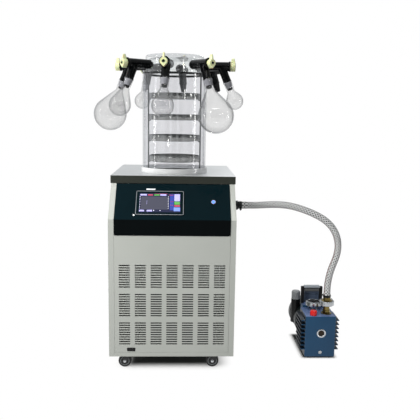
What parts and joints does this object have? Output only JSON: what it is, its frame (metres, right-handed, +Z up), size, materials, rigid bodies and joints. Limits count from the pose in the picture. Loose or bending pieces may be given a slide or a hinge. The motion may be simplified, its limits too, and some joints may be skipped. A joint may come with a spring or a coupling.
{
  "type": "freeze dryer",
  "caption": "Floor-standing laboratory freeze dryer: louvred cabinet on casters, clear drying chamber with trays over a cold trap, valved flask manifold, and a vacuum pump on a hose.",
  "frame": {"origin": "on the floor under the middle of the whole, cabinet and pump together, without the hose", "axes": "+X to the machine's right, towards the pump; +Y to the back; +Z up"},
  "size_m": [1.0236, 0.618, 1.219],
  "materials": {
    "cabinet_paint": "satin powder coat, light grey-white",
    "work_plate_steel": "brushed stainless steel",
    "fascia_black": "gloss black acrylic",
    "screen_frame": "satin grey frame with a glass screen",
    "button_steel": "polished steel with a blue lit centre",
    "inlet_black": "matte black",
    "caster_steel": "bright zinc plated",
    "caster_tyre": "matte black polyurethane",
    "brake_black": "matte black",
    "trap_steel": "brushed stainless steel",
    "compressor_black": "gloss black enamel",
    "condenser_aluminium": "mill finish fins",
    "fan_black": "matte black",
    "gasket_rubber": "matte white silicone",
    "chamber_acrylic": "clear polished acrylic",
    "rack_steel": "bright stainless steel",
    "tray_steel": "satin stainless steel",
    "valve_rubber": "moulded black rubber, slight sheen",
    "knob_plastic": "satin pale yellow-green",
    "flask_glass": "clear borosilicate glass with a ground neck",
    "fitting_steel": "polished stainless steel",
    "intake_brass": "turned brass with a bright clamp",
    "hose_pvc": "clear PVC with braided reinforcement",
    "pump_blue": "satin blue enamel",
    "motor_black": "satin black enamel",
    "cap_red": "gloss red",
    "handle_black": "matte black"
  },
  "bodies": {
    "cabinet": {"base_frame": "cabinet_paint", "base_gasket": "gasket_rubber", "chamber_cylinder": "chamber_acrylic", "cold_trap": "trap_steel", "compressor": "compressor_black", "condenser": "condenser_aluminium", "control_panel": "fascia_black", "flask_1000ml_left": "flask_glass", "flask_1000ml_right": "flask_glass", "flask_100ml_rear": "flask_glass", "flask_100ml_right": "flask_glass", "flask_250ml_front": "flask_glass", "flask_250ml_left": "flask_glass", "front_louvre_panel": "cabinet_paint", "left_side_panel": "cabinet_paint", "mains_inlet": "inlet_black", "manifold_drum": "chamber_acrylic", "pump_body": "pump_blue", "pump_handle": "handle_black", "pump_intake": "intake_brass", "pump_motor": "motor_black", "rear_panel": "cabinet_paint", "right_side_panel": "cabinet_paint", "top_plate": "work_plate_steel", "touchscreen": "screen_frame", "tray_1": "tray_steel", "tray_2": "tray_steel", "tray_3": "tray_steel", "tray_4": "tray_steel", "tray_rack": "rack_steel", "vacuum_hose": "hose_pvc", "vacuum_port": "fitting_steel", "valve_body_1": "valve_rubber", "valve_body_2": "valve_rubber", "valve_body_3": "valve_rubber", "valve_body_4": "valve_rubber", "valve_body_5": "valve_rubber", "valve_body_6": "valve_rubber", "valve_body_7": "valve_rubber", "valve_body_8": "valve_rubber"},
    "knob_1": {"valve_knob_1": "knob_plastic"},
    "knob_2": {"valve_knob_2": "knob_plastic"},
    "knob_3": {"valve_knob_3": "knob_plastic"},
    "knob_4": {"valve_knob_4": "knob_plastic"},
    "knob_5": {"valve_knob_5": "knob_plastic"},
    "knob_6": {"valve_knob_6": "knob_plastic"},
    "knob_7": {"valve_knob_7": "knob_plastic"},
    "knob_8": {"valve_knob_8": "knob_plastic"},
    "caster_1": {"caster_fork_1": "caster_steel"},
    "wheel_1": {"caster_wheel_1": "caster_tyre"},
    "caster_2": {"caster_fork_2": "caster_steel"},
    "wheel_2": {"caster_wheel_2": "caster_tyre"},
    "caster_3": {"caster_fork_3": "caster_steel"},
    "wheel_3": {"caster_wheel_3": "caster_tyre"},
    "caster_4": {"caster_fork_4": "caster_steel"},
    "wheel_4": {"caster_wheel_4": "caster_tyre"},
    "brake": {"caster_brake": "brake_black"},
    "button": {"power_button": "button_steel"},
    "fan": {"condenser_fan": "fan_black"},
    "filler_cap": {"pump_filler_cap": "cap_red"}
  },
  "joints": [
    {"name": "valve_knob_1_turn", "type": "hinge", "parent": "cabinet", "child": "knob_1", "pos_m": [-0.35777, -0.14629, 1.178], "axis": [-0.809, -0.5878, 0], "range_deg": [0, 180]},
    {"name": "valve_knob_2_turn", "type": "hinge", "parent": "cabinet", "child": "knob_2", "pos_m": [-0.21009, -0.23679, 1.178], "axis": [-0.1564, -0.9877, 0], "range_deg": [0, 180]},
    {"name": "valve_knob_3_turn", "type": "hinge", "parent": "cabinet", "child": "knob_3", "pos_m": [-0.04167, -0.19636, 1.178], "axis": [0.5878, -0.809, 0], "range_deg": [0, 180]},
    {"name": "valve_knob_4_turn", "type": "hinge", "parent": "cabinet", "child": "knob_4", "pos_m": [0.04883, -0.04868, 1.178], "axis": [0.9877, -0.1564, 0], "range_deg": [0, 180]},
    {"name": "valve_knob_5_turn", "type": "hinge", "parent": "cabinet", "child": "knob_5", "pos_m": [0.00839, 0.11974, 1.178], "axis": [0.809, 0.5878, 0], "range_deg": [0, 180]},
    {"name": "valve_knob_6_turn", "type": "hinge", "parent": "cabinet", "child": "knob_6", "pos_m": [-0.13929, 0.21024, 1.178], "axis": [0.1564, 0.9877, 0], "range_deg": [0, 180]},
    {"name": "valve_knob_7_turn", "type": "hinge", "parent": "cabinet", "child": "knob_7", "pos_m": [-0.3077, 0.1698, 1.178], "axis": [-0.5878, 0.809, 0], "range_deg": [0, 180]},
    {"name": "valve_knob_8_turn", "type": "hinge", "parent": "cabinet", "child": "knob_8", "pos_m": [-0.3982, 0.02212, 1.178], "axis": [-0.9877, 0.1564, 0], "range_deg": [0, 180]},
    {"name": "caster_1_swivel", "type": "hinge", "parent": "cabinet", "child": "caster_1", "pos_m": [-0.34669, -0.25728, 0.062], "axis": [0, 0, 1], "continuous": true},
    {"name": "caster_wheel_1_spin", "type": "hinge", "parent": "caster_1", "child": "wheel_1", "pos_m": [-0.35869, -0.25728, 0.025], "axis": [0, 1, 0], "continuous": true},
    {"name": "caster_2_swivel", "type": "hinge", "parent": "cabinet", "child": "caster_2", "pos_m": [-0.00269, -0.25728, 0.062], "axis": [0, 0, 1], "continuous": true},
    {"name": "caster_wheel_2_spin", "type": "hinge", "parent": "caster_2", "child": "wheel_2", "pos_m": [-0.01469, -0.25728, 0.025], "axis": [0, 1, 0], "continuous": true},
    {"name": "caster_3_swivel", "type": "hinge", "parent": "cabinet", "child": "caster_3", "pos_m": [-0.34669, 0.25472, 0.062], "axis": [0, 0, 1], "continuous": true},
    {"name": "caster_wheel_3_spin", "type": "hinge", "parent": "caster_3", "child": "wheel_3", "pos_m": [-0.35869, 0.25472, 0.025], "axis": [0, 1, 0], "continuous": true},
    {"name": "caster_4_swivel", "type": "hinge", "parent": "cabinet", "child": "caster_4", "pos_m": [-0.00269, 0.25472, 0.062], "axis": [0, 0, 1], "continuous": true},
    {"name": "caster_wheel_4_spin", "type": "hinge", "parent": "caster_4", "child": "wheel_4", "pos_m": [-0.01469, 0.25472, 0.025], "axis": [0, 1, 0], "continuous": true},
    {"name": "caster_brake_press", "type": "hinge", "parent": "caster_1", "child": "brake", "pos_m": [-0.33669, -0.27098, 0.05], "axis": [0, 1, 0], "range_deg": [0, 12]},
    {"name": "power_button_press", "type": "slide", "parent": "cabinet", "child": "button", "axis": [0, 0.7275, -0.6861], "range_m": [0, 0.0025], "stiffness_N_per_m": 800, "springref_m": -0.001},
    {"name": "condenser_fan_spin", "type": "hinge", "parent": "cabinet", "child": "fan", "pos_m": [-0.15469, -0.17728, 0.1933], "axis": [0, 1, 0], "continuous": true},
    {"name": "pump_filler_cap_turn", "type": "hinge", "parent": "cabinet", "child": "filler_cap", "pos_m": [0.40331, -0.17128, 0.19], "axis": [0, 0, 1], "range_deg": [0, 360]}
  ]
}
